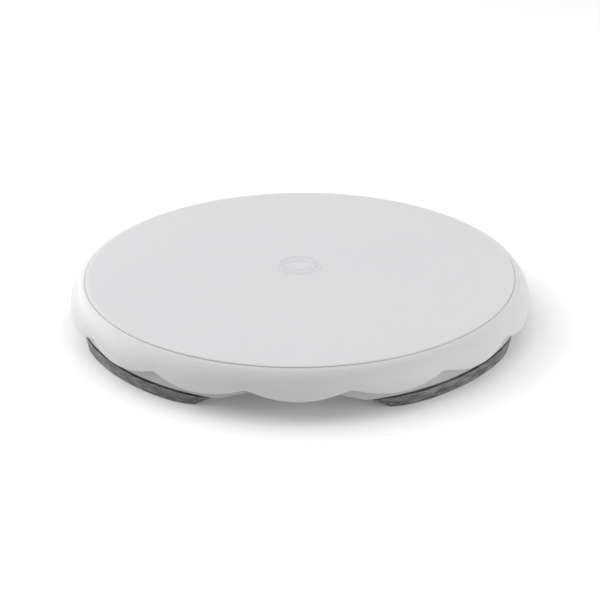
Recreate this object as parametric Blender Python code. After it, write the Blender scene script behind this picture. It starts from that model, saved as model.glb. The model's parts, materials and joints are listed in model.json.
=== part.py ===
"""Cake turntable: a scalloped plate that spins on a ball race over a four-footed base.

Metres, +Z up. The origin is on the floor, on the spin axis. The gap between two of the
feet faces -Y, which is the front. Angles are measured from the front towards +X.
"""
import math

import bmesh
import bpy
from mathutils import Matrix, Vector

# Facets round the big pieces, the races, the hub pieces and the screw
FACETS = 96
RACE_FACETS = 48
HUB_FACETS = 32
SCREW_FACETS = 16

GAP = 0.0003                    # between touching pieces

# Plate: a flat top, a small step down, and a shoulder that rounds over to a scalloped edge
PLATE_RADIUS = 0.1524
PLATE_TOP = 0.0305
PLATE_THICKNESS = 0.0027
PLATE_TURN = math.radians(1.7)  # how far the plate is turned from the base at rest
STEP_START_RADIUS = 0.1394
STEP_FOOT_RADIUS = 0.1416
STEP_DEPTH = 0.0008
STEP_FACETS = 2
SHOULDER_STEPS = 7
SHOULDER_POWER = 1.74           # 2 is an ellipse, and less is flatter
SKIRT_INNER_RADIUS = 0.1484
HAUNCH = 0.0065                 # thickens the corner between the top and the skirt
LOBES = 16
LOBE_HEIGHT = 0.0135            # lobe tips above the floor
NOTCH_HEIGHT = 0.0184           # notches between the lobes
LOBE_ROUNDNESS = 0.85
FLUTE_DEPTH = 0.0010            # how far the skirt draws in at a notch
EDGE_ROUND = 0.0005

# Base: a shell with an arch between each pair of feet
BASE_RADIUS = 0.1464
BASE_WALL = 0.0025
BASE_TOP = 0.0225
DECK_EDGE = 0.0015              # bevel round the top of the base
ARCH_TOP = 0.0162
ARCH_TOP_ANGLE = math.radians(8.2)
ARCH_FOOT_ANGLE = math.radians(16.9)
LEDGE_INNER_RADIUS = 0.1300     # of the ledge that a foot is bonded to
LEDGE_THICKNESS = 0.0020
LEDGE_LIP = 0.0010              # what is left of the ledge along an arch
LEDGE_END_ANGLE = math.radians(15.0)
RIB_COUNT = 8
RIB_WIDTH = 0.0020
RIB_DEPTH = 0.0065

# Feet: rubber arcs with sloping ends
FOOT_NAMES = ("foot_front_right", "foot_rear_right", "foot_rear_left", "foot_front_left")
FOOT_HEIGHT = 0.0078
FOOT_TOP_RADIUS = 0.1468
FOOT_BOTTOM_RADIUS = 0.1472
FOOT_WIDTH = 0.0165
FOOT_TOP_SPAN = math.radians(27.3)
FOOT_BOTTOM_SPAN = math.radians(22.0)
FOOT_END_INSET = 0.0030         # how far its outer face curves in at an end
FOOT_END_POWER = 8              # the higher, the later that curve begins
FOOT_EDGE = 0.0010
FOOT_STEPS = 14

# Ball race
BALL_COUNT = 12
BALL_RADIUS = 0.0030
BALL_PITCH_RADIUS = 0.0600
RACE_HALF_WIDTH = 0.0070
RACE_THICKNESS = 0.0024
RACE_GROOVE_DEPTH = 0.0012
CAGE_HALF_WIDTH = 0.0055
CAGE_THICKNESS = 0.0020
POCKET_RADIUS = 0.0034
LOCATING_WALL = 0.0023

# Hub: the plate's boss turns in a bush, and a washer and a screw hold it down
BOSS_RADIUS = 0.0080
BOSS_END = 0.0119
PILOT_RADIUS = 0.0020
PILOT_TOP = 0.0250
BUSH_WALL = 0.0027
BUSH_BOTTOM = 0.0122
BUSH_TOP = 0.0216
BUSH_FLANGE_RADIUS = 0.0140
BUSH_FLANGE_THICKNESS = 0.0015
COLLAR_RADIUS = 0.0165
COLLAR_TOP = 0.0210
WASHER_RADIUS = 0.0130
WASHER_THICKNESS = 0.0014
SCREW_SHANK_RADIUS = 0.0017
SCREW_HEAD_RADIUS = 0.0042
SCREW_HEAD_HEIGHT = 0.0026
SCREW_SOCKET_RADIUS = 0.0017
SCREW_POINT_RADIUS = 0.0007
SCREW_TIP = 0.0240
CAP_SOCKET_RADIUS = 0.0180
CAP_SOCKET_WALL = 0.0025
CAP_SOCKET_BOTTOM = 0.0045
CAP_THICKNESS = 0.0016
CAP_WALL = 0.0020
CAP_TOP = 0.0100

# Heights that follow from the stack of race, balls and plate
PLATE_UNDERSIDE = PLATE_TOP - PLATE_THICKNESS
UPPER_RACE_TOP = PLATE_UNDERSIDE - GAP
BALL_CENTRE = UPPER_RACE_TOP - RACE_THICKNESS + RACE_GROOVE_DEPTH - GAP - BALL_RADIUS
LOWER_RACE_BOTTOM = BALL_CENTRE - (UPPER_RACE_TOP - BALL_CENTRE)
WELL_FLOOR = LOWER_RACE_BOTTOM - GAP
WELL_RADIUS = BALL_PITCH_RADIUS + RACE_HALF_WIDTH + GAP
DECK_UNDERSIDE = BASE_TOP - BASE_WALL
WELL_UNDERSIDE = WELL_FLOOR - BASE_WALL
WALL_FOOT = FOOT_HEIGHT + GAP
BUSH_RADIUS = BOSS_RADIUS + GAP + BUSH_WALL


def smooth_step(value, start, end):
    """0 before start, 1 after end, and an even curve between them."""
    t = min(1.0, max(0.0, (value - start) / (end - start)))
    return t * t * (3.0 - 2.0 * t)


def gap_offset(angle):
    """Angle from the middle of the nearest gap between two feet."""
    quarter = math.pi / 2.0
    return abs((angle + quarter / 2.0) % quarter - quarter / 2.0)


def point_at(angle, radius, height):
    return Vector((radius * math.sin(angle), -radius * math.cos(angle), height))


def make_material(name, colour, roughness, metallic=0.0):
    material = bpy.data.materials.new(name)
    material.use_nodes = True
    shader = material.node_tree.nodes["Principled BSDF"]
    shader.inputs["Base Color"].default_value = (*colour, 1.0)
    shader.inputs["Roughness"].default_value = roughness
    shader.inputs["Metallic"].default_value = metallic
    return material


def finish_object(name, mesh_builder, material):
    """Close, orient and shade a bmesh, and put it in the scene under its own name."""
    bmesh.ops.recalc_face_normals(mesh_builder, faces=mesh_builder.faces)
    mesh = bpy.data.meshes.new(name)
    mesh_builder.to_mesh(mesh)
    mesh_builder.free()
    mesh.materials.append(material)
    mesh.shade_smooth()
    mesh.set_sharp_from_angle(angle=math.radians(35.0))
    item = bpy.data.objects.new(name, mesh)
    bpy.context.collection.objects.link(item)
    return item


def skin(sections, full_turn, closed_outline):
    """Skin a row of outlines that all have the same number of points.

    A full turn joins the last outline to the first. An outline that isn't closed leaves a
    round hole at each of its ends, and a row that isn't a full turn leaves its two end
    outlines: both are filled with one flat face each.
    """
    builder = bmesh.new()
    rows = [[builder.verts.new(point) for point in section] for section in sections]
    row_count = len(rows)
    column_count = len(rows[0])
    for i in range(row_count if full_turn else row_count - 1):
        near, far = rows[i], rows[(i + 1) % row_count]
        for j in range(column_count if closed_outline else column_count - 1):
            k = (j + 1) % column_count
            builder.faces.new((near[j], far[j], far[k], near[k]))
    if not closed_outline:
        builder.faces.new([row[0] for row in rows])
        builder.faces.new([row[-1] for row in rows])
    if not full_turn:
        builder.faces.new(rows[0])
        builder.faces.new(rows[-1])
    return builder


def turned(name, outline, facets, material, closed_outline=True, first_angle=0.0):
    """Turn an outline round the spin axis. It is a list of (radius, height) points, or a
    function of the angle that gives one."""
    sections = []
    for step in range(facets):
        angle = first_angle + 2.0 * math.pi * step / facets
        points = outline(angle) if callable(outline) else outline
        sections.append([point_at(angle, radius, height) for radius, height in points])
    return finish_object(name, skin(sections, True, closed_outline), material)


def plate_outline(angle):
    """From the rim of the flat top, over the shoulder and under it, to the pilot hole."""
    lobe = abs(math.cos(0.5 * LOBES * (angle - PLATE_TURN))) ** LOBE_ROUNDNESS
    lift = (NOTCH_HEIGHT - LOBE_HEIGHT) * (1.0 - lobe)
    edge = LOBE_HEIGHT + lift
    flute = FLUTE_DEPTH * (1.0 - lobe)
    points = []
    for step in range(STEP_FACETS + 1):
        bend = 0.5 * math.pi * step / STEP_FACETS
        radius = STEP_START_RADIUS + (STEP_FOOT_RADIUS - STEP_START_RADIUS) * math.sin(bend)
        points.append((radius, PLATE_TOP - STEP_DEPTH * (1.0 - math.cos(bend))))
    full_drop = PLATE_TOP - STEP_DEPTH - LOBE_HEIGHT - EDGE_ROUND
    last_bend = math.acos((lift / full_drop) ** (0.5 * SHOULDER_POWER))
    for step in range(1, SHOULDER_STEPS + 1):
        bend = last_bend * step / SHOULDER_STEPS
        outward = math.sin(bend) ** (2.0 / SHOULDER_POWER)
        upward = max(0.0, math.cos(bend)) ** (2.0 / SHOULDER_POWER)
        radius = STEP_FOOT_RADIUS + (PLATE_RADIUS - STEP_FOOT_RADIUS) * outward
        height = LOBE_HEIGHT + EDGE_ROUND + full_drop * upward
        points.append((radius - flute * (1.0 - upward), height))
    race_wall = WELL_RADIUS + LOCATING_WALL
    points += [
        (points[-1][0] - EDGE_ROUND, edge),
        (SKIRT_INNER_RADIUS, edge),
        (SKIRT_INNER_RADIUS, PLATE_UNDERSIDE - HAUNCH),
        (SKIRT_INNER_RADIUS - HAUNCH, PLATE_UNDERSIDE),
        (race_wall, PLATE_UNDERSIDE),
        (race_wall, UPPER_RACE_TOP - 0.5 * RACE_THICKNESS),
        (WELL_RADIUS, UPPER_RACE_TOP - 0.5 * RACE_THICKNESS),
        (WELL_RADIUS, PLATE_UNDERSIDE),
        (BOSS_RADIUS + EDGE_ROUND, PLATE_UNDERSIDE),
        (BOSS_RADIUS, PLATE_UNDERSIDE - EDGE_ROUND),
        (BOSS_RADIUS, BOSS_END),
        (PILOT_RADIUS, BOSS_END),
        (PILOT_RADIUS, PILOT_TOP),
    ]
    return points


def base_outline(angle):
    """Up the collar, across the well and deck, down the wall, and back underneath."""
    offset = gap_offset(angle)
    arch = (ARCH_FOOT_ANGLE - offset) / (ARCH_FOOT_ANGLE - ARCH_TOP_ANGLE)
    wall_foot = WALL_FOOT + (ARCH_TOP - WALL_FOOT) * min(1.0, max(0.0, arch))
    wall_inner = BASE_RADIUS - BASE_WALL
    on_foot = smooth_step(offset, LEDGE_END_ANGLE, ARCH_FOOT_ANGLE)
    ledge_reach = wall_inner - LEDGE_LIP
    ledge_inner = ledge_reach + (LEDGE_INNER_RADIUS - ledge_reach) * on_foot
    bush_bore = BUSH_RADIUS + GAP
    collar_bottom = BUSH_BOTTOM + BUSH_FLANGE_THICKNESS + GAP
    well_wall = WELL_RADIUS + BASE_WALL
    socket_wall = CAP_SOCKET_RADIUS + CAP_SOCKET_WALL
    return [
        (bush_bore, collar_bottom),
        (bush_bore, COLLAR_TOP),
        (COLLAR_RADIUS, COLLAR_TOP),
        (COLLAR_RADIUS, WELL_FLOOR),
        (WELL_RADIUS, WELL_FLOOR),
        (WELL_RADIUS, BASE_TOP),
        (BASE_RADIUS - DECK_EDGE, BASE_TOP),
        (BASE_RADIUS, BASE_TOP - DECK_EDGE),
        (BASE_RADIUS, wall_foot + EDGE_ROUND),
        (BASE_RADIUS - EDGE_ROUND, wall_foot),
        (ledge_inner, wall_foot),
        (ledge_inner, wall_foot + LEDGE_THICKNESS),
        (wall_inner, wall_foot + LEDGE_THICKNESS),
        (wall_inner, DECK_UNDERSIDE),
        (well_wall, DECK_UNDERSIDE),
        (well_wall, WELL_UNDERSIDE),
        (socket_wall, WELL_UNDERSIDE),
        (socket_wall, CAP_SOCKET_BOTTOM),
        (CAP_SOCKET_RADIUS, CAP_SOCKET_BOTTOM),
        (CAP_SOCKET_RADIUS, collar_bottom),
    ]


def race_outline(back, face):
    """A race between its flat back and its grooved face, which are two heights."""
    inner = BALL_PITCH_RADIUS - RACE_HALF_WIDTH
    outer = BALL_PITCH_RADIUS + RACE_HALF_WIDTH
    groove_radius = BALL_RADIUS + GAP
    to_face = face - BALL_CENTRE
    reach = math.acos(abs(to_face) / groove_radius)
    side = math.copysign(1.0, to_face)
    points = [(inner, back), (inner, face)]
    for turn in (-1.0, -0.5, 0.0, 0.5, 1.0):
        across = groove_radius * math.sin(turn * reach)
        down = groove_radius * math.cos(turn * reach)
        points.append((BALL_PITCH_RADIUS + across, BALL_CENTRE + side * down))
    return points + [(outer, face), (outer, back)]


def combine(target, guide, operation):
    """Join a guide to the target, or cut it away, with a live Boolean. The guide stays in
    the scene as a wireframe that isn't rendered."""
    boolean = target.modifiers.new(guide.name, "BOOLEAN")
    boolean.operation = operation
    boolean.solver = "EXACT"
    boolean.object = guide
    guide.hide_render = True
    guide.display_type = "WIRE"


def make_plate(white):
    return turned("turntable_plate", plate_outline, FACETS, white, closed_outline=False,
                  first_angle=PLATE_TURN)


def make_base_shell(white):
    shell = turned("base_shell", base_outline, FACETS, white)
    combine(shell, make_rib_guide(white), "UNION")
    return shell


def make_rib_guide(white):
    """The stiffening ribs under the deck, from the well to the outer wall."""
    builder = bmesh.new()
    start = WELL_RADIUS + 0.5 * BASE_WALL
    end = BASE_RADIUS - 0.5 * BASE_WALL
    top = DECK_UNDERSIDE + 0.5 * BASE_WALL
    bottom = DECK_UNDERSIDE - RIB_DEPTH
    for step in range(RIB_COUNT):
        angle = 2.0 * math.pi * (step + 0.5) / RIB_COUNT
        centre = point_at(angle, 0.5 * (start + end), 0.5 * (top + bottom))
        size = Matrix.Diagonal((RIB_WIDTH, end - start, top - bottom, 1.0))
        place = Matrix.Translation(centre) @ Matrix.Rotation(angle, 4, "Z") @ size
        bmesh.ops.create_cube(builder, size=1.0, matrix=place)
    return finish_object("rib_guide", builder, white)


def make_foot(name, middle, rubber):
    """A rubber arc. Its outline is swept from end to end, and each height of it has its own
    span, so the ends slope."""
    inner = FOOT_TOP_RADIUS - FOOT_WIDTH
    outline = [
        (inner, FOOT_HEIGHT),
        (FOOT_TOP_RADIUS, FOOT_HEIGHT),
        (FOOT_BOTTOM_RADIUS, FOOT_EDGE),
        (FOOT_BOTTOM_RADIUS - FOOT_EDGE, 0.0),
        (inner + FOOT_EDGE, 0.0),
        (inner, FOOT_EDGE),
    ]
    sections = []
    for step in range(FOOT_STEPS + 1):
        along = 2.0 * step / FOOT_STEPS - 1.0
        inset = FOOT_END_INSET * along ** FOOT_END_POWER
        section = []
        for radius, height in outline:
            rise = height / FOOT_HEIGHT
            span = FOOT_BOTTOM_SPAN + (FOOT_TOP_SPAN - FOOT_BOTTOM_SPAN) * rise
            drawn_in = inset if radius > FOOT_TOP_RADIUS - 0.5 * FOOT_WIDTH else 0.0
            section.append(point_at(middle + along * span, radius - drawn_in, height))
        sections.append(section)
    builder = skin(sections, False, True)
    bmesh.ops.triangulate(builder, faces=[face for face in builder.faces if len(face.verts) > 4])
    return finish_object(name, builder, rubber)


def make_lower_race(steel):
    face = LOWER_RACE_BOTTOM + RACE_THICKNESS
    return turned("lower_race", race_outline(LOWER_RACE_BOTTOM, face), RACE_FACETS, steel)


def make_upper_race(steel):
    face = UPPER_RACE_TOP - RACE_THICKNESS
    return turned("upper_race", race_outline(UPPER_RACE_TOP, face), RACE_FACETS, steel)


def ball_angle(number):
    return 2.0 * math.pi * number / BALL_COUNT


def make_cage(plastic):
    """A flat ring between the races, with a round pocket for each ball."""
    inner = BALL_PITCH_RADIUS - CAGE_HALF_WIDTH
    outer = BALL_PITCH_RADIUS + CAGE_HALF_WIDTH
    low = BALL_CENTRE - 0.5 * CAGE_THICKNESS
    high = BALL_CENTRE + 0.5 * CAGE_THICKNESS
    ring = [(inner, low), (outer, low), (outer, high), (inner, high)]
    cage = turned("ball_cage", ring, RACE_FACETS, plastic)
    builder = bmesh.new()
    for number in range(BALL_COUNT):
        centre = point_at(ball_angle(number), BALL_PITCH_RADIUS, BALL_CENTRE)
        bmesh.ops.create_cone(
            builder, cap_ends=True, segments=SCREW_FACETS, depth=2.0 * CAGE_THICKNESS,
            radius1=POCKET_RADIUS, radius2=POCKET_RADIUS, matrix=Matrix.Translation(centre))
    combine(cage, finish_object("pocket_guide", builder, plastic), "DIFFERENCE")
    return cage


def make_balls(steel):
    """One mesh, shared by all the balls. Each ball's origin is its centre."""
    builder = bmesh.new()
    bmesh.ops.create_icosphere(builder, subdivisions=2, radius=BALL_RADIUS)
    first = finish_object("ball_01", builder, steel)
    balls = [first]
    for number in range(1, BALL_COUNT):
        ball = bpy.data.objects.new("ball_%02d" % (number + 1), first.data)
        bpy.context.collection.objects.link(ball)
        balls.append(ball)
    for number, ball in enumerate(balls):
        ball.location = point_at(ball_angle(number), BALL_PITCH_RADIUS, BALL_CENTRE)
        ball.rotation_euler.z = ball_angle(number)
    return balls


def make_bush(plastic):
    """A flanged bush, pushed into the base's collar from below."""
    bore = BOSS_RADIUS + GAP
    flange_top = BUSH_BOTTOM + BUSH_FLANGE_THICKNESS
    outline = [
        (bore, BUSH_BOTTOM),
        (BUSH_FLANGE_RADIUS, BUSH_BOTTOM),
        (BUSH_FLANGE_RADIUS, flange_top),
        (BUSH_RADIUS, flange_top),
        (BUSH_RADIUS, BUSH_TOP),
        (bore, BUSH_TOP),
    ]
    return turned("pivot_bush", outline, HUB_FACETS, plastic)


def make_washer(steel):
    top = BOSS_END - GAP
    hole = PILOT_RADIUS + GAP
    bottom = top - WASHER_THICKNESS
    outline = [(hole, bottom), (WASHER_RADIUS, bottom), (WASHER_RADIUS, top), (hole, top)]
    return turned("retaining_washer", outline, HUB_FACETS, steel)


def make_screw(steel):
    """A pan-head screw, from the floor of its drive socket to its tip."""
    seat = BOSS_END - WASHER_THICKNESS - 2.0 * GAP
    head_bottom = seat - SCREW_HEAD_HEIGHT
    outline = [
        (SCREW_SOCKET_RADIUS, head_bottom + 0.5 * SCREW_HEAD_HEIGHT),
        (SCREW_SOCKET_RADIUS, head_bottom),
        (SCREW_HEAD_RADIUS - EDGE_ROUND, head_bottom),
        (SCREW_HEAD_RADIUS, head_bottom + EDGE_ROUND),
        (SCREW_HEAD_RADIUS, seat),
        (SCREW_SHANK_RADIUS, seat),
        (SCREW_SHANK_RADIUS, SCREW_TIP - SCREW_SHANK_RADIUS),
        (SCREW_POINT_RADIUS, SCREW_TIP),
    ]
    return turned("hub_screw", outline, SCREW_FACETS, steel, closed_outline=False)


def make_cap(plastic):
    """A shallow cup that closes the hub from below."""
    radius = CAP_SOCKET_RADIUS - GAP
    inner = radius - CAP_WALL
    face = CAP_SOCKET_BOTTOM + GAP
    floor = face + CAP_THICKNESS
    outline = [(radius - EDGE_ROUND, face), (radius, face + EDGE_ROUND), (radius, CAP_TOP),
               (inner, CAP_TOP), (inner, floor)]
    return turned("bottom_cap", outline, HUB_FACETS, plastic, closed_outline=False)


def make_pivot(name, children):
    """An empty on the spin axis that carries the pieces of one moving body."""
    pivot = bpy.data.objects.new(name, None)
    bpy.context.collection.objects.link(pivot)
    for child in children:
        child.parent = pivot


def main():
    for item in list(bpy.data.objects):
        bpy.data.objects.remove(item, do_unlink=True)
    gloss_white = make_material("gloss_white_plastic", (0.82, 0.82, 0.83), 0.22)
    base_white = make_material("base_white_plastic", (0.78, 0.78, 0.79), 0.35)
    acetal = make_material("acetal", (0.86, 0.85, 0.80), 0.40)
    grey_plastic = make_material("grey_plastic", (0.30, 0.30, 0.31), 0.45)
    rubber = make_material("dark_rubber", (0.055, 0.055, 0.058), 0.60)
    steel = make_material("steel", (0.62, 0.62, 0.63), 0.28, 1.0)

    base_pieces = [make_base_shell(base_white), make_lower_race(steel), make_bush(acetal),
                   make_cap(grey_plastic)]
    for number, name in enumerate(FOOT_NAMES):
        base_pieces.append(make_foot(name, math.pi / 4.0 + number * math.pi / 2.0, rubber))
    make_pivot("base_frame", base_pieces)
    make_pivot("plate_pivot", [make_plate(gloss_white), make_upper_race(steel),
                               make_washer(steel), make_screw(steel)])
    make_pivot("cage_pivot", [make_cage(acetal)] + make_balls(steel))


main()
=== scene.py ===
"""Cake turntable: fine meshes, materials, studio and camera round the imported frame.

Metres, +Z up, spin axis at x = y = 0. Angles are measured from the front (-Y) towards +X.
"""
import json
import math

import bmesh
import bpy
from mathutils import Matrix, Vector


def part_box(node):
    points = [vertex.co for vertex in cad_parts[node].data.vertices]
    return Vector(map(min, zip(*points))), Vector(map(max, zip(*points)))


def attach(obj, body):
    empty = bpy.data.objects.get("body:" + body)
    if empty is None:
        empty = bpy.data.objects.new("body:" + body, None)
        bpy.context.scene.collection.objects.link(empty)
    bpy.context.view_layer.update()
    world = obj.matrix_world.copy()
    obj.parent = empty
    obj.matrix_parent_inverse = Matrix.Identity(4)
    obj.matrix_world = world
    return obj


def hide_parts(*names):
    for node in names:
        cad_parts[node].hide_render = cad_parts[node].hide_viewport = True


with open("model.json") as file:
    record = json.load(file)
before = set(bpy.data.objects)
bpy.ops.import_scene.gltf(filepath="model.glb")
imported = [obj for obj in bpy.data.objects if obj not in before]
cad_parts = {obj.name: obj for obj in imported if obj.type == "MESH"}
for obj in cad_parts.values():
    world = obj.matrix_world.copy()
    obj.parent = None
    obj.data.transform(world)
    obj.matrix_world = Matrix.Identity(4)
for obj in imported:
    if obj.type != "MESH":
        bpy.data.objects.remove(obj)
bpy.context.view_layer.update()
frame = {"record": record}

# Sizes that come from the frame
MOUNTS = {mount["name"]: mount for mount in frame["record"]["mounts"]}
PLATE_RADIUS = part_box("turntable_plate")[1][0]
CAKE_FACE = MOUNTS["cake_face"]["pos_m"][2]
BOSS_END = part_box("turntable_plate")[0][2]
BASE_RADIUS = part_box("base_shell")[1][0]
BASE_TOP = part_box("base_shell")[1][2]
FOOT_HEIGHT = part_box("foot_front_left")[1][2]
CAGE_LOW, CAGE_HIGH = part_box("ball_cage")
RACE_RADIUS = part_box("lower_race")[1][0]
LOWER_RACE_LOW, LOWER_RACE_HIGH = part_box("lower_race")
UPPER_RACE_LOW, UPPER_RACE_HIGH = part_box("upper_race")
BUSH_LOW, BUSH_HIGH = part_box("pivot_bush")
WASHER_LOW, WASHER_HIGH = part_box("retaining_washer")
SCREW_LOW, SCREW_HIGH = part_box("hub_screw")
CAP_LOW, CAP_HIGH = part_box("bottom_cap")

GAP = 0.0003                    # between touching pieces
FINE_ROUND = 0.0003             # on the edges of the small pieces
SHARP_ANGLE = math.radians(38.0)
HUB_FACETS = 96

# Plate details: the flat top is a little low, so the mark on it stays inside the frame's box
MARK_RISE = 0.00015
PLATE_TOP = CAKE_FACE - MARK_RISE
FACETS = 480
PLATE_TURN = math.radians(1.7)
PLATE_THICKNESS = 0.0027
STEP_START_RADIUS = 0.1394
STEP_FOOT_RADIUS = 0.1416
STEP_DEPTH = 0.0008
GUTTER_DEPTH = 0.0003
STEP_ROUND = 0.0002
BEVEL_DROP = 0.0002
DROP_RADIUS = 0.1414
SHOULDER_STEPS = 40
SHOULDER_POWER = 1.74
SKIRT_INNER_RADIUS = 0.1484
HAUNCH = 0.0065
LOCATING_WALL = 0.0023
LOBES = 16
LOBE_HEIGHT = 0.0135
NOTCH_HEIGHT = 0.0184
LOBE_ROUNDNESS = 0.85
NOTCH_SOFTNESS = 0.10
FLUTE_DEPTH = 0.0010
EDGE_ROUND = 0.0006
BOSS_RADIUS = 0.0080
PILOT_RADIUS = 0.0020
PILOT_TOP = 0.0250
MARK_FACETS = 128
MARK_RING_RADII = (0.0145, 0.0075)
MARK_RING_ROUND = 0.0002
MARK_TICKS = 24
MARK_TICK_RADII = (0.0092, 0.0125)
MARK_TICK_BEVEL = 0.35 * MARK_RISE
MARK_LONG_TICK_EVERY = 4
MARK_SHORT_TICK = 0.6           # of the length of a long one
MARK_WIDTH = 0.00070

# Base details
BASE_WALL = 0.0025
ARCH_TOP = 0.0162
ARCH_TOP_ANGLE = math.radians(8.2)
ARCH_FOOT_ANGLE = math.radians(16.9)
ARCH_SOFTNESS = 0.0004
LEDGE_INNER_RADIUS = 0.1300
LEDGE_THICKNESS = 0.0020
LEDGE_LIP = 0.0010
LEDGE_END_ANGLE = math.radians(15.0)
WELL_RADIUS = RACE_RADIUS + GAP
WELL_FLOOR = LOWER_RACE_LOW[2] - GAP
COLLAR_RADIUS = 0.0165
COLLAR_TOP = 0.0210
BUSH_RADIUS = 0.0110
BUSH_FLANGE_THICKNESS = 0.0015
CAP_SOCKET_RADIUS = 0.0180
CAP_SOCKET_WALL = 0.0025
CAP_SOCKET_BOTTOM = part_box("base_shell")[0][2]
RIB_COUNT = 8
RIB_WIDTH = 0.0020
RIB_DEPTH = 0.0065
RIB_BEVEL = 0.3 * RIB_WIDTH

# Foot details
FOOT_NAMES = ("foot_front_right", "foot_rear_right", "foot_rear_left", "foot_front_left")
FOOT_TOP_RADIUS = 0.1468
FOOT_BOTTOM_RADIUS = 0.1472
FOOT_WIDTH = 0.0165
FOOT_TOP_SPAN = math.radians(27.3)
FOOT_BOTTOM_SPAN = math.radians(22.0)
FOOT_END_INSET = 0.0030
FOOT_END_POWER = 8
FOOT_END_START = 0.985          # share of its half span where a foot begins to close
FOOT_END_SHRINK = 0.10
FOOT_STEPS = 480
FOOT_INNER_ROUND = 0.0005
SOLE_ROUND = 0.0010
SOLE_BORDER = 0.0030
LIP_HEIGHT = 0.0010
LIP_DEPTH = 0.0018
TREAD_COUNT = 22
TREAD_DEPTH = 0.0007
TREAD_EDGES = (0.60, 0.90)      # of the wave that the tread follows
TREAD_END = (0.88, 0.94)        # share of the half span over which it fades out

# Ball race details
BALL_COUNT = 12
BALL_RADIUS = 0.0030
BALL_PITCH_RADIUS = 0.0600
BALL_CENTRE = 0.5 * (CAGE_LOW[2] + CAGE_HIGH[2])
BALL_SUBDIVISIONS = 4
RACE_FACETS = 192
GROOVE_STEPS = 12
POCKET_FACETS = 48
POCKET_CUT = 4.0 * (CAGE_HIGH[2] - CAGE_LOW[2])

# Screw and cap details
SCREW_FACETS = 48
SCREW_SHANK_RADIUS = 0.0017
SCREW_SOCKET_RADIUS = 0.0017
SCREW_SOCKET_DEPTH = 0.0013
SCREW_HEAD_ROUND = 0.0012
SCREW_TIP = 0.3                 # of the shank's radius
THREAD_PITCH = 0.0014
THREAD_DEPTH = 0.00035
THREAD_STEPS = 110
THREAD_FADE_STEPS = 12
THREAD_POWER = 1.5              # above 1 makes the crests wider than the roots
CAP_FACETS = 128
CAP_WALL = 0.0020
CAP_THICKNESS = 0.0016
CAP_EDGE = 0.0010
CAP_RING_INSETS = (0.0100, 0.0040)
CAP_RING_WIDTH = 0.0006
CAP_RING_HEIGHT = 0.0003
CAP_RING_ROUND = 0.0002

# Camera: where it stands and how it looks at the turntable
CAMERA_DISTANCE = 0.78
CAMERA_ELEVATION = math.radians(23.56)
CAMERA_TURN = math.radians(2.2)
CAMERA_PITCH = math.radians(25.27)
CAMERA_ROLL = math.radians(-0.46)
CAMERA_LENS = 70.13

# Floor and softboxes: a softbox has a place, a width and height, and a power in watts
FLOOR_REACH = 60.0
FLOOR_GLOW = 0.12
SOFTBOX_AIM = (0.0, 0.0, 0.02)
SOFTBOXES = {
    "left_panel": ((-1.00, 0.32, 0.55), (1.6, 1.0), 11.0),
    "right_panel": ((0.95, -0.60, 0.38), (1.3, 0.8), 8.5),
}

# Sky light: its brightest direction, the cosines of the angles to that direction between
# which it grows from dim to bright, and its strengths there
SKY_AXIS = (-0.45, 1.00, 0.20)
SKY_EDGES = (-0.45, 0.15)
SKY_DIM = 0.04
SKY_BRIGHT = 1.35


def smooth_step(value, start, end):
    """0 before start, 1 after end, and an even curve between them."""
    t = min(1.0, max(0.0, (value - start) / (end - start)))
    return t * t * (3.0 - 2.0 * t)


def gap_offset(angle):
    """Angle from the middle of the nearest gap between two feet."""
    quarter = math.pi / 2.0
    return abs((angle + quarter / 2.0) % quarter - quarter / 2.0)


def point_at(angle, radius, height):
    """The point at an angle from the front, a distance from the spin axis and a height."""
    return Vector((radius * math.sin(angle), -radius * math.cos(angle), height))


# ---------------------------------------------------------------- mesh helpers

def filleted(corners, steps=4):
    """A (radius, height) outline from (radius, height, fillet) corners. Each fillet is a
    curve of steps + 1 points, kept short of the middle of the edges beside it. A corner
    with no fillet stays one point."""
    count = len(corners)
    outline = []
    for i, (radius, height, fillet) in enumerate(corners):
        corner = Vector((radius, height))
        if not fillet:
            outline.append(corner)
            continue
        before = Vector(corners[(i - 1) % count][:2]) - corner
        after = Vector(corners[(i + 1) % count][:2]) - corner
        start = corner + before * min(fillet / before.length, 0.45)
        end = corner + after * min(fillet / after.length, 0.45)
        for step in range(steps + 1):
            t = step / steps
            outline.append(start * (1 - t) ** 2 + corner * 2 * t * (1 - t) + end * t ** 2)
    return outline


def smooth_shade(mesh):
    """Smooth shading, with sharp edges where the surface turns a corner."""
    mesh.shade_smooth()
    mesh.set_sharp_from_angle(angle=SHARP_ANGLE)


def make_piece(name, verts, faces, material):
    """An object from points and faces, with its faces turned outwards."""
    mesh = bpy.data.meshes.new(name)
    mesh.from_pydata([tuple(v) for v in verts], [], faces)
    builder = bmesh.new()
    builder.from_mesh(mesh)
    bmesh.ops.recalc_face_normals(builder, faces=builder.faces)
    builder.to_mesh(mesh)
    builder.free()
    mesh.materials.append(material)
    smooth_shade(mesh)
    piece = bpy.data.objects.new(name, mesh)
    bpy.context.collection.objects.link(piece)
    return piece


def make_object(name, builder):
    """An object from a bmesh, which is freed."""
    mesh = bpy.data.meshes.new(name)
    builder.to_mesh(mesh)
    builder.free()
    piece = bpy.data.objects.new(name, mesh)
    bpy.context.collection.objects.link(piece)
    return piece


def skin_faces(row_count, column_count, full_turn, closed_outline):
    """Quads between rows of points, and one face over each open end."""
    faces = []
    for i in range(row_count if full_turn else row_count - 1):
        near = i * column_count
        far = ((i + 1) % row_count) * column_count
        for j in range(column_count if closed_outline else column_count - 1):
            k = (j + 1) % column_count
            faces.append((near + j, far + j, far + k, near + k))
    if not closed_outline:
        faces.append([i * column_count for i in range(row_count)])
        faces.append([i * column_count + column_count - 1 for i in range(row_count)])
    if not full_turn:
        faces.append(list(range(column_count)))
        faces.append([(row_count - 1) * column_count + j for j in range(column_count)])
    return faces


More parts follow.
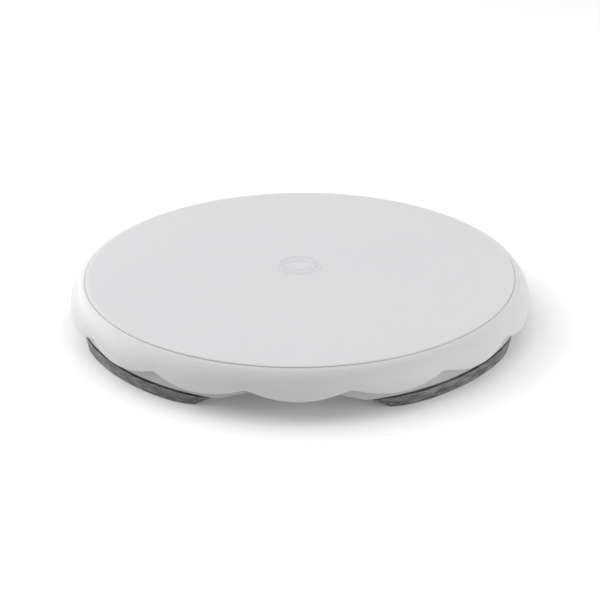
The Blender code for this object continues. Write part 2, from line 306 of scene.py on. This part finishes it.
def turned(name, outline, facets, material, closed_outline=True, first_angle=0.0):
    """Turn an outline round the spin axis: a list of points, or a function of the angle."""
    verts = []
    for step in range(facets):
        angle = first_angle + 2.0 * math.pi * step / facets
        points = outline(angle) if callable(outline) else outline
        verts += [point_at(angle, radius, height) for radius, height in points]
    faces = skin_faces(facets, len(verts) // facets, True, closed_outline)
    return make_piece(name, verts, faces, material)


def cut_away(piece, cutter):
    """Subtract the cutter from the piece for good, and remove the cutter."""
    boolean = piece.modifiers.new("cut", "BOOLEAN")
    boolean.operation = "DIFFERENCE"
    boolean.solver = "EXACT"
    boolean.object = cutter
    depsgraph = bpy.context.evaluated_depsgraph_get()
    result = bpy.data.meshes.new_from_object(piece.evaluated_get(depsgraph))
    piece.modifiers.clear()
    piece.data = result
    smooth_shade(result)
    bpy.data.objects.remove(cutter, do_unlink=True)


def stand_for(piece, body, slot, *nodes):
    """The piece rides on a body and hides the nodes it replaces. The slot is not used."""
    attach(piece, body)
    if nodes:
        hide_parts(*nodes)


# ------------------------------------------------------------------- materials

class Nodes:
    """A material under construction, with short calls for its nodes."""

    def __init__(self, name):
        self.material = bpy.data.materials.new(name)
        self.material.use_nodes = True
        self.tree = self.material.node_tree
        self.shader = self.tree.nodes["Principled BSDF"]

    def add(self, kind, links=None, **settings):
        """A node. links maps its inputs, by name or index, to a socket or a value."""
        node = self.tree.nodes.new("ShaderNode" + kind)
        for key, value in settings.items():
            setattr(node, key, value)
        for key, value in (links or {}).items():
            self.feed(node, key, value)
        return node

    def feed(self, node, key, value):
        if isinstance(value, bpy.types.NodeSocket):
            self.tree.links.new(value, node.inputs[key])
        else:
            node.inputs[key].default_value = value

    def math(self, operation, first, second=0.0):
        node = self.add("Math", {0: first, 1: second}, operation=operation)
        return node.outputs[0]

    def place(self):
        """The point's own place on the object, in metres."""
        return self.add("TexCoord").outputs["Object"]

    def noise(self, vector, scale, detail=3.0, roughness=0.5):
        node = self.add("TexNoise", {"Vector": vector, "Scale": scale, "Detail": detail,
                                     "Roughness": roughness})
        return node.outputs["Fac"]

    def spread(self, value, low, high, from_low=0.3, from_high=0.7):
        """Map a value between two limits to another range."""
        node = self.add("MapRange", {"Value": value, "From Min": from_low,
                                     "From Max": from_high, "To Min": low, "To Max": high})
        return node.outputs["Result"]

    def blend(self, factor, low, high):
        """A colour between two, by a factor."""
        node = self.add("ValToRGB", {"Fac": factor})
        node.color_ramp.elements[0].color = (*low, 1.0)
        node.color_ramp.elements[1].color = (*high, 1.0)
        return node.outputs["Color"]

    def bump(self, height, distance, strength, below=None):
        links = {"Height": height, "Distance": distance, "Strength": strength}
        if below is not None:
            links["Normal"] = below
        return self.add("Bump", links).outputs["Normal"]

    def polar(self, along, up, slant=0.0):
        """A vector that runs round the spin axis: along scales its length in radians, up
        scales the height and the radius, and slant tilts it."""
        split = self.add("SeparateXYZ", {0: self.place()})
        x, y, z = split.outputs
        angle = self.math("ARCTAN2", x, self.math("MULTIPLY", y, -1.0))
        radius = self.math("SQRT", self.math("ADD", self.math("MULTIPLY", x, x),
                                             self.math("MULTIPLY", y, y)))
        run = self.math("ADD", self.math("MULTIPLY", angle, along),
                        self.math("MULTIPLY", z, slant))
        node = self.add("CombineXYZ", {0: run, 1: self.math("MULTIPLY", z, up),
                                       2: self.math("MULTIPLY", radius, up)})
        return node.outputs[0]


def moulded_plastic(name, shade, variation, roughness, grain, grain_depth, specular=0.5):
    """Moulded plastic: faint cloudiness, uneven gloss and a fine surface grain."""
    n = Nodes(name)
    place = n.place()
    cloud = n.noise(place, 18.0)
    low = tuple(value - variation for value in shade)
    high = tuple(value + variation for value in shade)
    n.feed(n.shader, "Base Color", n.blend(cloud, low, high))
    haze = n.noise(place, 140.0, detail=5.0)
    n.feed(n.shader, "Roughness", n.spread(haze, roughness * 0.85, roughness * 1.2))
    n.feed(n.shader, "Specular IOR Level", specular)
    ripple = n.bump(n.noise(place, 45.0, detail=2.0), distance=0.00025, strength=0.25)
    fine = n.noise(place, grain, detail=2.0)
    n.feed(n.shader, "Normal", n.bump(fine, grain_depth, strength=0.5, below=ripple))
    return n.material


def satin_top_plastic(name, shades):
    """The flat top: stippled satin, with faint turning marks from use."""
    n = Nodes(name)
    place = n.place()
    n.feed(n.shader, "Base Color", n.blend(n.noise(place, 9.0), *shades))
    scuffs = n.noise(n.polar(along=1.5, up=900.0), 1.0, detail=4.0, roughness=0.6)
    n.feed(n.shader, "Roughness", n.spread(scuffs, 0.44, 0.56))
    stipple = n.bump(n.noise(place, 2600.0, detail=1.0), distance=0.00006, strength=0.35)
    n.feed(n.shader, "Normal", n.bump(scuffs, distance=0.00003, strength=0.15, below=stipple))
    return n.material


def streaked_rubber(name):
    """Dark rubber with fine streaks that run along the arc."""
    n = Nodes(name)
    streaks = n.noise(n.polar(along=18.0, up=1500.0, slant=420.0), 1.0, detail=4.0,
                      roughness=0.65)
    patches = n.noise(n.polar(along=6.0, up=160.0, slant=60.0), 1.0, detail=2.0)
    tone = n.math("ADD", n.math("MULTIPLY", streaks, 0.8), n.math("MULTIPLY", patches, 0.2))
    tone = n.spread(tone, 0.0, 1.0, from_low=0.41, from_high=0.59)
    n.feed(n.shader, "Base Color", n.blend(tone, (0.006, 0.006, 0.007), (0.190, 0.190, 0.192)))
    n.feed(n.shader, "Roughness", n.spread(streaks, 0.28, 0.60))
    n.feed(n.shader, "Specular IOR Level", 0.9)
    n.feed(n.shader, "Normal", n.bump(streaks, distance=0.00020, strength=0.60))
    return n.material


def turned_steel(name, shade, roughness):
    """Steel with the fine rings that a lathe leaves."""
    n = Nodes(name)
    rings = n.noise(n.polar(along=0.4, up=5200.0), 1.0, detail=3.0, roughness=0.6)
    low = tuple(value * 0.88 for value in shade)
    n.feed(n.shader, "Base Color", n.blend(rings, low, shade))
    n.feed(n.shader, "Roughness", n.spread(rings, roughness * 0.8, roughness * 1.3))
    n.feed(n.shader, "Metallic", 1.0)
    n.feed(n.shader, "Normal", n.bump(rings, distance=0.00004, strength=0.4))
    return n.material


def polished_steel(name):
    """Ball steel: a near mirror with faint hazy patches."""
    n = Nodes(name)
    haze = n.noise(n.place(), 900.0)
    n.feed(n.shader, "Base Color", n.blend(haze, (0.66, 0.66, 0.67), (0.76, 0.76, 0.77)))
    n.feed(n.shader, "Roughness", n.spread(haze, 0.06, 0.13))
    n.feed(n.shader, "Metallic", 1.0)
    return n.material


def floor_paper():
    """Pale matt paper that glows a little, so the floor stays near white."""
    n = Nodes("floor_paper")
    colour = n.blend(n.noise(n.place(), 3.0), (0.76, 0.76, 0.76), (0.78, 0.78, 0.78))
    n.feed(n.shader, "Base Color", colour)
    n.feed(n.shader, "Emission Color", (1.0, 1.0, 1.0, 1.0))
    n.feed(n.shader, "Emission Strength", FLOOR_GLOW)
    n.feed(n.shader, "Roughness", 0.9)
    n.feed(n.shader, "Specular IOR Level", 0.1)
    return n.material


# ----------------------------------------------------------------- turned plate

def lobe_share(angle):
    """1 at the middle of a lobe and 0 in a notch."""
    wave = math.cos(0.5 * LOBES * (angle - PLATE_TURN)) ** 2
    soft = NOTCH_SOFTNESS ** 2
    power = 0.5 * LOBE_ROUNDNESS
    return ((wave + soft) ** power - soft ** power) / ((1.0 + soft) ** power - soft ** power)


def rim_points():
    """A gentle bevel at the edge of the flat top, and a short drop to a fine gutter."""
    return filleted([
        (STEP_START_RADIUS - 2.0 * STEP_ROUND, PLATE_TOP, 0.0),
        (STEP_START_RADIUS, PLATE_TOP, STEP_ROUND),
        (DROP_RADIUS, PLATE_TOP - BEVEL_DROP, STEP_ROUND),
        (STEP_FOOT_RADIUS, PLATE_TOP - STEP_DEPTH - GUTTER_DEPTH, 0.0),
    ])


RIM = rim_points()


def shoulder_point(bend, lowest, full_drop, flute):
    """A point on the shoulder, by how far round it is from the top. The flute draws the
    lower part in."""
    outward = math.sin(bend) ** (2.0 / SHOULDER_POWER)
    upward = max(0.0, math.cos(bend)) ** (2.0 / SHOULDER_POWER)
    radius = STEP_FOOT_RADIUS + (PLATE_RADIUS - STEP_FOOT_RADIUS) * outward
    return radius - flute * (1.0 - upward), lowest + full_drop * upward


def plate_underside(skirt, edge):
    """From the skirt's lower edge, over the inside of the plate and down the boss."""
    underside = PLATE_TOP - PLATE_THICKNESS
    race_wall = WELL_RADIUS + LOCATING_WALL
    seat = 0.5 * (UPPER_RACE_LOW[2] + UPPER_RACE_HIGH[2])
    return filleted([
        (skirt, edge + EDGE_ROUND, 0.0),
        (skirt, edge, EDGE_ROUND),
        (SKIRT_INNER_RADIUS, edge, EDGE_ROUND),
        (SKIRT_INNER_RADIUS, underside - HAUNCH, EDGE_ROUND),
        (SKIRT_INNER_RADIUS - HAUNCH, underside, EDGE_ROUND),
        (race_wall, underside, EDGE_ROUND),
        (race_wall, seat, EDGE_ROUND),
        (WELL_RADIUS, seat, EDGE_ROUND),
        (WELL_RADIUS, underside, 0.0),
        (BOSS_RADIUS, underside, 2.0 * EDGE_ROUND),
        (BOSS_RADIUS, BOSS_END, EDGE_ROUND),
        (PILOT_RADIUS, BOSS_END, 0.0),
        (PILOT_RADIUS, PILOT_TOP, 0.0),
    ])


def plate_outline(angle):
    """From the rim of the flat top, over the shoulder and under it, to the pilot hole."""
    lobe = lobe_share(angle)
    lift = (NOTCH_HEIGHT - LOBE_HEIGHT) * (1.0 - lobe)
    edge = LOBE_HEIGHT + lift
    flute = FLUTE_DEPTH * (1.0 - lobe)
    lowest = LOBE_HEIGHT + EDGE_ROUND
    full_drop = PLATE_TOP - STEP_DEPTH - lowest
    last_bend = math.acos((lift / full_drop) ** (0.5 * SHOULDER_POWER))
    outline = list(RIM)
    for step in range(1, SHOULDER_STEPS):
        bend = last_bend * step / SHOULDER_STEPS
        outline.append(shoulder_point(bend, lowest, full_drop, flute))
    skirt = shoulder_point(last_bend, lowest, full_drop, flute)[0]
    return outline + plate_underside(skirt, edge)


def make_plate(gloss, satin):
    plate = turned("plate_moulding", plate_outline, FACETS, gloss, False, PLATE_TURN)
    plate.data.materials.append(satin)
    flat_top = max(plate.data.polygons, key=lambda face: face.area)
    flat_top.material_index = 1
    stand_for(plate, "plate", "plate_white", "turntable_plate")


def add_mark_ring(verts, faces, radius):
    """Add one raised ring to the points and faces of the centring mark."""
    root = PLATE_TOP - MARK_RISE
    top = PLATE_TOP + MARK_RISE
    inner = radius - 0.5 * MARK_WIDTH
    outer = radius + 0.5 * MARK_WIDTH
    outline = filleted([(inner, root, 0.0), (outer, root, 0.0),
                        (outer, top, MARK_RING_ROUND), (inner, top, MARK_RING_ROUND)], 3)
    first = len(verts)
    for step in range(MARK_FACETS):
        angle = 2.0 * math.pi * step / MARK_FACETS
        verts += [point_at(angle, *point) for point in outline]
    faces += [[first + i for i in face]
              for face in skin_faces(MARK_FACETS, len(outline), True, True)]


def add_mark_tick(builder, number):
    """Add one raised tick of the centring mark. One in a few is long."""
    near, far = MARK_TICK_RADII
    reach = far - near
    if number % MARK_LONG_TICK_EVERY:
        reach *= MARK_SHORT_TICK
    angle = 2.0 * math.pi * number / MARK_TICKS
    middle = point_at(angle, far - 0.5 * reach, PLATE_TOP)
    size = Matrix.Diagonal((MARK_WIDTH, reach, 2.0 * MARK_RISE, 1.0))
    place = Matrix.Translation(middle) @ Matrix.Rotation(angle, 4, "Z") @ size
    cube = bmesh.ops.create_cube(builder, size=1.0, matrix=place)
    edges = {edge for vert in cube["verts"] for edge in vert.link_edges}
    bmesh.ops.bevel(builder, geom=list(edges), offset=MARK_TICK_BEVEL, segments=2,
                    profile=0.5, affect="EDGES")


def make_centring_mark(satin):
    """Raised rings and ticks that help to centre a cake."""
    verts = []
    faces = []
    for radius in MARK_RING_RADII:
        add_mark_ring(verts, faces, radius)
    mark = make_piece("centring_mark", verts, faces, satin)
    builder = bmesh.new()
    builder.from_mesh(mark.data)
    for number in range(MARK_TICKS):
        add_mark_tick(builder, number)
    builder.to_mesh(mark.data)
    builder.free()
    stand_for(mark, "plate", "plate_white")


# ------------------------------------------------------------------------- base

def arch_height(offset):
    """Height of the wall's lower edge, by the angle from the middle of a gap: a slope that
    bends softly into the arch's top and into the top of the foot."""
    wall_foot = FOOT_HEIGHT + GAP
    slope = (ARCH_TOP - wall_foot) / (ARCH_FOOT_ANGLE - ARCH_TOP_ANGLE)
    straight = wall_foot + slope * (ARCH_FOOT_ANGLE - offset)
    above = 0.5 * (straight + wall_foot + math.hypot(straight - wall_foot, ARCH_SOFTNESS))
    return 0.5 * (above + ARCH_TOP - math.hypot(above - ARCH_TOP, ARCH_SOFTNESS))


def base_outline(angle):
    """Up the collar, across the well and deck, down the wall, and back underneath."""
    offset = gap_offset(angle)
    wall_foot = arch_height(offset)
    wall_inner = BASE_RADIUS - BASE_WALL
    on_foot = smooth_step(offset, LEDGE_END_ANGLE, ARCH_FOOT_ANGLE)
    ledge_reach = wall_inner - LEDGE_LIP
    ledge_inner = ledge_reach + (LEDGE_INNER_RADIUS - ledge_reach) * on_foot
    bush_bore = BUSH_RADIUS + GAP
    collar_bottom = BUSH_LOW[2] + BUSH_FLANGE_THICKNESS + GAP
    well_wall = WELL_RADIUS + BASE_WALL
    deck_underside = BASE_TOP - BASE_WALL
    well_underside = WELL_FLOOR - BASE_WALL
    socket_wall = CAP_SOCKET_RADIUS + CAP_SOCKET_WALL
    edge = EDGE_ROUND
    return filleted([
        (bush_bore, collar_bottom, edge),
        (bush_bore, COLLAR_TOP, edge),
        (COLLAR_RADIUS, COLLAR_TOP, edge),
        (COLLAR_RADIUS, WELL_FLOOR, edge),
        (WELL_RADIUS, WELL_FLOOR, 0.0),
        (WELL_RADIUS, BASE_TOP, edge),
        (BASE_RADIUS, BASE_TOP, 4.0 * edge),
        (BASE_RADIUS, wall_foot, edge),
        (ledge_inner, wall_foot, 0.5 * edge),
        (ledge_inner, wall_foot + LEDGE_THICKNESS, 0.5 * edge),
        (wall_inner, wall_foot + LEDGE_THICKNESS, 0.5 * edge),
        (wall_inner, deck_underside, 2.0 * edge),
        (well_wall, deck_underside, 2.0 * edge),
        (well_wall, well_underside, 2.0 * edge),
        (socket_wall, well_underside, 2.0 * edge),
        (socket_wall, CAP_SOCKET_BOTTOM, edge),
        (CAP_SOCKET_RADIUS, CAP_SOCKET_BOTTOM, edge),
        (CAP_SOCKET_RADIUS, collar_bottom, edge),
    ], 3)


def make_base(white):
    shell = turned("base_moulding", base_outline, FACETS, white)
    stand_for(shell, "base", "base_white", "base_shell")


def make_ribs(white):
    """Straight ribs under the deck, from the race's well to the outer wall."""
    start = WELL_RADIUS + 0.5 * BASE_WALL
    end = BASE_RADIUS - 0.5 * BASE_WALL
    top = BASE_TOP - 0.5 * BASE_WALL
    bottom = BASE_TOP - BASE_WALL - RIB_DEPTH
    builder = bmesh.new()
    for number in range(RIB_COUNT):
        angle = 2.0 * math.pi * (number + 0.5) / RIB_COUNT
        middle = point_at(angle, 0.5 * (start + end), 0.5 * (top + bottom))
        size = Matrix.Diagonal((RIB_WIDTH, end - start, top - bottom, 1.0))
        place = Matrix.Translation(middle) @ Matrix.Rotation(angle, 4, "Z") @ size
        cube = bmesh.ops.create_cube(builder, size=1.0, matrix=place)
        lower = [vert for vert in cube["verts"] if vert.co.z < middle.z]
        edges = {edge for vert in lower for edge in vert.link_edges
                 if all(end_vert in lower for end_vert in edge.verts)}
        bmesh.ops.bevel(builder, geom=list(edges), offset=RIB_BEVEL, segments=3,
                        profile=0.5, affect="EDGES")
    ribs = make_object("base_ribs", builder)
    ribs.data.materials.append(white)
    smooth_shade(ribs.data)
    stand_for(ribs, "base", "base_white")


# ------------------------------------------------------------------------- feet

def foot_outline(tread):
    """Section of a foot: a shadow lip along its top, and a sole with a slot that is cut up
    by the tread, to a given depth."""
    inner = FOOT_TOP_RADIUS - FOOT_WIDTH
    lip = FOOT_HEIGHT - LIP_HEIGHT
    return filleted([
        (inner, FOOT_HEIGHT, FOOT_INNER_ROUND),
        (FOOT_TOP_RADIUS - LIP_DEPTH, FOOT_HEIGHT, 0.0),
        (FOOT_TOP_RADIUS - LIP_DEPTH, lip, 0.0),
        (FOOT_TOP_RADIUS, lip, FINE_ROUND),
        (FOOT_BOTTOM_RADIUS, 0.0, SOLE_ROUND),
        (FOOT_BOTTOM_RADIUS - SOLE_BORDER, 0.0, 0.0),
        (FOOT_BOTTOM_RADIUS - SOLE_BORDER, tread, 0.0),
        (inner + SOLE_BORDER, tread, 0.0),
        (inner + SOLE_BORDER, 0.0, 0.0),
        (inner, 0.0, SOLE_ROUND),
    ], 4)


def tread_depth(along):
    """Depth of the tread's grooves, which fade out towards the ends of a foot."""
    wave = math.cos(math.pi * TREAD_COUNT * along)
    groove = smooth_step(wave, *TREAD_EDGES) * (1.0 - smooth_step(abs(along), *TREAD_END))
    return TREAD_DEPTH * groove


def make_foot(name, middle, rubber):
    """A rubber arc, swept from end to end. Each height has its own span, so the ends slope,
    and the section shrinks over the last stretch, so the ends are round."""
    verts = []
    core = Vector((FOOT_TOP_RADIUS - 0.5 * FOOT_WIDTH, 0.5 * FOOT_HEIGHT))
    for step in range(FOOT_STEPS + 1):
        along = math.sin(0.5 * math.pi * (2.0 * step / FOOT_STEPS - 1.0))
        closing = max(0.0, (abs(along) - FOOT_END_START) / (1.0 - FOOT_END_START))
        shrink = FOOT_END_SHRINK * (1.0 - math.sqrt(max(0.0, 1.0 - closing ** 2)))
        inset = FOOT_END_INSET * along ** FOOT_END_POWER
        for point in foot_outline(tread_depth(along)):
            radius, height = point + (core - point) * shrink
            span = FOOT_BOTTOM_SPAN + (FOOT_TOP_SPAN - FOOT_BOTTOM_SPAN) * height / FOOT_HEIGHT
            if radius > core.x:
                radius -= inset
            verts.append(point_at(middle + along * span, radius, height))
    faces = skin_faces(FOOT_STEPS + 1, len(verts) // (FOOT_STEPS + 1), False, True)
    foot = make_piece(name + "_rubber", verts, faces, rubber)
    stand_for(foot, "base", "foot_rubber", name)


# ----------------------------------------------------------- ball race and hub

def race_outline(back, face):
    """A race between its flat back and its grooved face, which are two heights."""
    inner = 2.0 * BALL_PITCH_RADIUS - RACE_RADIUS
    groove_radius = BALL_RADIUS + GAP
    to_face = face - BALL_CENTRE
    reach = math.acos(abs(to_face) / groove_radius)
    side = math.copysign(1.0, to_face)
    corners = [(inner, back, FINE_ROUND), (inner, face, FINE_ROUND)]
    for step in range(GROOVE_STEPS + 1):
        turn = reach * (2.0 * step / GROOVE_STEPS - 1.0)
        corners.append((BALL_PITCH_RADIUS + groove_radius * math.sin(turn),
                        BALL_CENTRE + side * groove_radius * math.cos(turn), 0.0))
    corners += [(RACE_RADIUS, face, FINE_ROUND), (RACE_RADIUS, back, FINE_ROUND)]
    return filleted(corners)


def make_races(steel):
    lower = turned("lower_race_ring", race_outline(LOWER_RACE_LOW[2], LOWER_RACE_HIGH[2]),
                   RACE_FACETS, steel)
    stand_for(lower, "base", "race_steel", "lower_race")
    upper = turned("upper_race_ring", race_outline(UPPER_RACE_HIGH[2], UPPER_RACE_LOW[2]),
                   RACE_FACETS, steel)
    stand_for(upper, "plate", "race_steel", "upper_race")


def ball_place(number):
    angle = 2.0 * math.pi * number / BALL_COUNT
    return point_at(angle, BALL_PITCH_RADIUS, BALL_CENTRE)


def make_cage(plastic):
    """The flat ring that spaces the balls, with a round pocket for each."""
    outer = CAGE_HIGH[0]
    inner = 2.0 * BALL_PITCH_RADIUS - outer
    ring = filleted([(inner, CAGE_LOW[2], FINE_ROUND), (outer, CAGE_LOW[2], FINE_ROUND),
                     (outer, CAGE_HIGH[2], FINE_ROUND), (inner, CAGE_HIGH[2], FINE_ROUND)])
    cage = turned("cage_ring", ring, RACE_FACETS, plastic)
    pocket = BALL_RADIUS + GAP
    builder = bmesh.new()
    for number in range(BALL_COUNT):
        bmesh.ops.create_cone(builder, cap_ends=True, segments=POCKET_FACETS,
                              depth=POCKET_CUT, radius1=pocket, radius2=pocket,
                              matrix=Matrix.Translation(ball_place(number)))
    cut_away(cage, make_object("pockets", builder))
    stand_for(cage, "cage", "acetal", "ball_cage")


def make_balls(steel):
    for number in range(BALL_COUNT):
        name = "ball_%02d" % (number + 1)
        builder = bmesh.new()
        bmesh.ops.create_icosphere(builder, subdivisions=BALL_SUBDIVISIONS,
                                   radius=BALL_RADIUS,
                                   matrix=Matrix.Translation(ball_place(number)))
        ball = make_object(name + "_steel", builder)
        ball.data.materials.append(steel)
        ball.data.shade_smooth()
        stand_for(ball, name, "ball_steel", name)


def make_bush(plastic):
    bore = BOSS_RADIUS + GAP
    flange = BUSH_HIGH[0]
    flange_top = BUSH_LOW[2] + BUSH_FLANGE_THICKNESS
    bush = turned("bush_sleeve", filleted([
        (bore, BUSH_LOW[2], FINE_ROUND),
        (flange, BUSH_LOW[2], FINE_ROUND),
        (flange, flange_top, FINE_ROUND),
        (BUSH_RADIUS, flange_top, FINE_ROUND),
        (BUSH_RADIUS, BUSH_HIGH[2], EDGE_ROUND),
        (bore, BUSH_HIGH[2], FINE_ROUND),
    ]), HUB_FACETS, plastic)
    stand_for(bush, "base", "acetal", "pivot_bush")


def make_washer(steel):
    hole = PILOT_RADIUS + GAP
    outer = WASHER_HIGH[0]
    washer = turned("washer_disc", filleted([
        (hole, WASHER_LOW[2], FINE_ROUND),
        (outer, WASHER_LOW[2], FINE_ROUND),
        (outer, WASHER_HIGH[2], FINE_ROUND),
        (hole, WASHER_HIGH[2], FINE_ROUND),
    ]), HUB_FACETS, steel)
    stand_for(washer, "plate", "race_steel", "retaining_washer")


def screw_outline(angle):
    """A pan head with a round drive socket, and a shank with a helical thread."""
    head = SCREW_HIGH[0]
    seat = WASHER_LOW[2] - GAP
    tip_start = SCREW_HIGH[2] - SCREW_SHANK_RADIUS
    outline = filleted([
        (SCREW_SOCKET_RADIUS, SCREW_LOW[2] + SCREW_SOCKET_DEPTH, 0.0),
        (SCREW_SOCKET_RADIUS, SCREW_LOW[2], FINE_ROUND),
        (head, SCREW_LOW[2], SCREW_HEAD_ROUND),
        (head, seat, FINE_ROUND),
        (SCREW_SHANK_RADIUS, seat, 0.0),
    ])
    for step in range(1, THREAD_STEPS + 1):
        height = seat + (tip_start - seat) * step / THREAD_STEPS
        turns = (height / THREAD_PITCH - angle / (2.0 * math.pi)) % 1.0
        valley = abs(2.0 * turns - 1.0) ** THREAD_POWER
        fade = smooth_step(step, 0, THREAD_FADE_STEPS)
        outline.append((SCREW_SHANK_RADIUS - THREAD_DEPTH * valley * fade, height))
    outline.append((SCREW_TIP * SCREW_SHANK_RADIUS, SCREW_HIGH[2]))
    return outline


def make_screw(steel):
    screw = turned("screw_body", screw_outline, SCREW_FACETS, steel, closed_outline=False)
    stand_for(screw, "plate", "race_steel", "hub_screw")


def make_cap(plastic):
    """The cover under the hub: a shallow cup with two fine rings on its face."""
    outer = CAP_HIGH[0]
    inner = outer - CAP_WALL
    face = CAP_LOW[2] + CAP_RING_HEIGHT
    floor = CAP_LOW[2] + CAP_THICKNESS
    corners = [(outer - CAP_RING_INSETS[0] - 2.0 * CAP_RING_WIDTH, face, 0.0)]
    for inset in CAP_RING_INSETS:
        ring = outer - inset
        corners += [
            (ring - CAP_RING_WIDTH, face, CAP_RING_ROUND),
            (ring, CAP_LOW[2], CAP_RING_ROUND),
            (ring + CAP_RING_WIDTH, CAP_LOW[2], CAP_RING_ROUND),
            (ring + 2.0 * CAP_RING_WIDTH, face, CAP_RING_ROUND),
        ]
    corners += [
        (outer - CAP_EDGE, face, CAP_RING_ROUND),
        (outer, CAP_LOW[2] + CAP_EDGE, EDGE_ROUND),
        (outer, CAP_HIGH[2], FINE_ROUND),
        (inner, CAP_HIGH[2], FINE_ROUND),
        (inner, floor, FINE_ROUND),
        (inner - CAP_WALL, floor, 0.0),
    ]
    cap = turned("cap_cover", filleted(corners, 3), CAP_FACETS, plastic, closed_outline=False)
    stand_for(cap, "base", "cap_grey", "bottom_cap")


# ------------------------------------------------------------ studio and camera

def make_floor():
    builder = bmesh.new()
    bmesh.ops.create_grid(builder, x_segments=1, y_segments=1, size=FLOOR_REACH)
    floor = make_object("studio_floor", builder)
    floor.data.materials.append(floor_paper())


def add_softbox(name, place, size, power):
    """A rectangular softbox that faces the turntable."""
    light = bpy.data.lights.new(name, "AREA")
    light.shape = "RECTANGLE"
    light.size, light.size_y = size
    light.energy = power
    softbox = bpy.data.objects.new(name, light)
    softbox.location = place
    towards = Vector(SOFTBOX_AIM) - Vector(place)
    softbox.rotation_euler = towards.to_track_quat("-Z", "Y").to_euler()
    bpy.context.collection.objects.link(softbox)


def make_sky():
    """Soft light that is bright overhead, behind and on the left, and dim elsewhere."""
    world = bpy.data.worlds.new("studio")
    world.use_nodes = True
    nodes = world.node_tree.nodes
    links = world.node_tree.links
    direction = nodes.new("ShaderNodeTexCoord")
    towards_light = nodes.new("ShaderNodeVectorMath")
    towards_light.operation = "DOT_PRODUCT"
    towards_light.inputs[1].default_value = Vector(SKY_AXIS).normalized()
    strength = nodes.new("ShaderNodeMapRange")
    strength.interpolation_type = "SMOOTHSTEP"
    strength.inputs["From Min"].default_value = SKY_EDGES[0]
    strength.inputs["From Max"].default_value = SKY_EDGES[1]
    strength.inputs["To Min"].default_value = SKY_DIM
    strength.inputs["To Max"].default_value = SKY_BRIGHT
    links.new(direction.outputs["Generated"], towards_light.inputs[0])
    links.new(towards_light.outputs["Value"], strength.inputs["Value"])
    links.new(strength.outputs["Result"], nodes["Background"].inputs["Strength"])
    nodes["Background"].inputs["Color"].default_value = (1.0, 1.0, 1.0, 1.0)
    bpy.context.scene.world = world


def make_studio():
    make_sky()
    for name, (place, size, power) in SOFTBOXES.items():
        add_softbox(name, place, size, power)
    bpy.context.scene.view_settings.view_transform = "Standard"


def make_camera():
    camera_data = bpy.data.cameras.new("camera")
    camera_data.lens = CAMERA_LENS
    camera = bpy.data.objects.new("camera", camera_data)
    back = CAMERA_DISTANCE * math.cos(CAMERA_ELEVATION)
    height = PLATE_TOP + CAMERA_DISTANCE * math.sin(CAMERA_ELEVATION)
    place = Matrix.Translation(point_at(CAMERA_TURN, back, height))
    heading = Matrix.Rotation(CAMERA_TURN, 4, "Z")
    pitch = Matrix.Rotation(0.5 * math.pi - CAMERA_PITCH, 4, "X")
    camera.matrix_world = place @ heading @ pitch @ Matrix.Rotation(CAMERA_ROLL, 4, "Z")
    bpy.context.collection.objects.link(camera)
    bpy.context.scene.camera = camera


def main():
    make_camera()
    make_studio()
    make_floor()
    gloss = moulded_plastic("gloss_white", (0.510, 0.510, 0.510), variation=0.004,
                            roughness=0.36, grain=120.0, grain_depth=0.00002, specular=0.3)
    satin = satin_top_plastic("satin_top", ((0.484, 0.484, 0.498), (0.506, 0.506, 0.510)))
    # Painted shade: the base's white plastic is given a darker grey than the plate, so the
    # wall under the plate reads as if in deeper shade
    base_white = moulded_plastic("base_white", (0.40, 0.40, 0.40), variation=0.01,
                                 roughness=0.38, grain=1100.0, grain_depth=0.00004)
    acetal = moulded_plastic("acetal", (0.78, 0.76, 0.70), variation=0.015,
                             roughness=0.42, grain=900.0, grain_depth=0.00003)
    cap_grey = moulded_plastic("cap_grey", (0.34, 0.34, 0.35), variation=0.01,
                               roughness=0.45, grain=1300.0, grain_depth=0.00005)
    rubber = streaked_rubber("streaked_rubber")
    steel = turned_steel("turned_steel", (0.58, 0.58, 0.59), roughness=0.28)
    ball_steel = polished_steel("ball_steel")

    make_plate(gloss, satin)
    make_centring_mark(satin)
    make_base(base_white)
    make_ribs(base_white)
    for number, name in enumerate(FOOT_NAMES):
        make_foot(name, math.pi / 4.0 + number * math.pi / 2.0, rubber)
    make_races(steel)
    make_cage(acetal)
    make_balls(ball_steel)
    make_bush(acetal)
    make_washer(steel)
    make_screw(steel)
    make_cap(cap_grey)


main()
